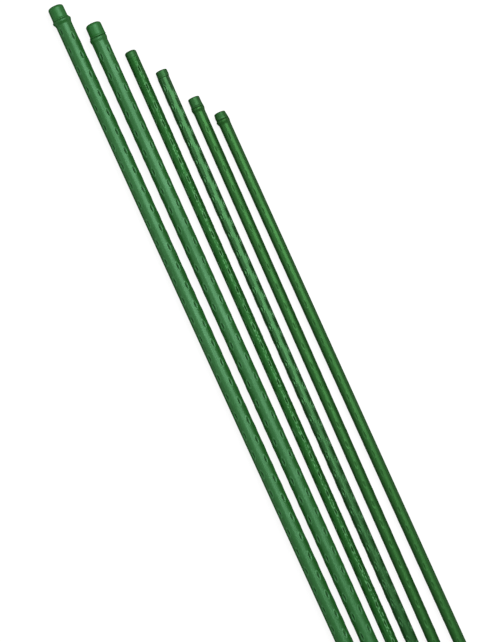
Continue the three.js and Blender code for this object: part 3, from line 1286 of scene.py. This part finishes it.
DRAWN_STEEL = SteelFinish("drawn_steel", bright=(0.56, 0.57, 0.58), dull=(0.4, 0.4, 0.4), roughness=0.32)
SATIN_COAT = PlasticFinish(
    "satin_green_coat", shade=(0.0058, 0.073, 0.005), deep=(0.005, 0.062, 0.0042),
    wear_and_highlight=(0.06, 0.21, 0.075), roughness=0.36, gloss=0.53, sheen=(0.45, 1.0, 0.59),
    streak_bump=0.004 * MM, pebble_bump=0.002 * MM, dimple_shade=1.0,
)
DULL_COAT = PlasticFinish(
    "dull_green_coat", shade=(0.006, 0.054, 0.0055), deep=(0.005, 0.045, 0.0046),
    wear_and_highlight=(0.12, 0.32, 0.135), roughness=0.36, gloss=0.36, sheen=(0.26, 1.0, 0.31),
    streak_bump=0.003 * MM, pebble_bump=0.0015 * MM, dimple_shade=0.9, scraped=True,
)
GLOSS_COAT = PlasticFinish(
    "glossy_green_coat", shade=(0.0043, 0.036, 0.0043), deep=(0.0036, 0.03, 0.0036),
    wear_and_highlight=(0.05, 0.17, 0.06), roughness=0.22, gloss=0.48, sheen=(0.34, 1.0, 0.4),
    streak_bump=0.0008 * MM, pebble_bump=0.0006 * MM, dimple_shade=0.3,
)
PLAIN_COAT = PlasticFinish(
    "plain_green_coat", shade=(0.0035, 0.035, 0.0028), deep=(0.003, 0.029, 0.0023),
    wear_and_highlight=(0.024, 0.09, 0.026), roughness=0.36, gloss=0.54, sheen=(0.3, 1.0, 0.31),
    streak_bump=0.003 * MM, pebble_bump=0.0015 * MM, dimple_shade=0.45,
)
MOULDED_CAP = PlasticFinish(
    "moulded_green_cap", shade=(0.0065, 0.084, 0.0058), deep=(0.0055, 0.071, 0.0049),
    wear_and_highlight=(0.06, 0.2, 0.07), roughness=0.4, gloss=0.55, sheen=(0.44, 1.0, 0.58),
    streak_bump=0.001 * MM, pebble_bump=0.003 * MM,
)
THIN_CAP = PlasticFinish(
    "thin_green_cap", shade=(0.0046, 0.045, 0.004), deep=(0.0038, 0.037, 0.0034),
    wear_and_highlight=(0.05, 0.17, 0.055), roughness=0.42, gloss=0.55, sheen=(0.36, 1.0, 0.42),
    streak_bump=0.001 * MM, pebble_bump=0.003 * MM,
)
MOULDED_POINT = PlasticFinish(
    "moulded_green_point", shade=(0.008, 0.064, 0.0075), deep=(0.0067, 0.053, 0.0063),
    wear_and_highlight=(0.05, 0.16, 0.06), roughness=0.5, gloss=0.48, sheen=(0.4, 1.0, 0.5),
    streak_bump=0.001 * MM, pebble_bump=0.004 * MM,
)

STAKES = (
    Stake(1, Gauge.THICK, HeadStyle.BOLD,
          DimpleRows(turn=30, start=23.8 * MM, pitch=14.0 * MM, stagger=0.6),
          SATIN_COAT, MOULDED_CAP, MOULDED_POINT),
    Stake(2, Gauge.THICK, HeadStyle.SOFT,
          DimpleRows(turn=37, start=20.8 * MM, pitch=14.0 * MM, stagger=0.2),
          SATIN_COAT, MOULDED_CAP, MOULDED_POINT),
    Stake(3, Gauge.THIN, HeadStyle.ROUND,
          DimpleRows(turn=16, start=13.6 * MM, pitch=13.4 * MM, stagger=0.6),
          DULL_COAT, THIN_CAP, MOULDED_POINT),
    Stake(4, Gauge.THIN, HeadStyle.FLUSH,
          DimpleRows(turn=-27, start=12.9 * MM, pitch=13.3 * MM, stagger=0.6, press=1.2),
          GLOSS_COAT, THIN_CAP, MOULDED_POINT),
    Stake(5, Gauge.THIN, HeadStyle.PROUD,
          DimpleRows(turn=0, start=23.4 * MM, pitch=14.3 * MM, stagger=0.6, press=0.5),
          PLAIN_COAT, THIN_CAP, MOULDED_POINT),
    Stake(6, Gauge.THIN, HeadStyle.FLARED,
          DimpleRows(turn=-11, start=17.4 * MM, pitch=13.6 * MM, stagger=0.6, press=0.35),
          PLAIN_COAT, THIN_CAP, MOULDED_POINT),
)


def main() -> None:
    """Builds the stakes and the studio."""
    logging.basicConfig(level=logging.INFO, format="%(name)s: %(message)s")
    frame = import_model()
    press = DimplePress()
    shelf = FinishShelf()
    for stake in STAKES:
        stake.build(frame, press, shelf)
    third_stake = STAKES[2]
    Studio().build(third_stake.lay(frame["record"]).head)


if __name__ == "__main__":
    main()
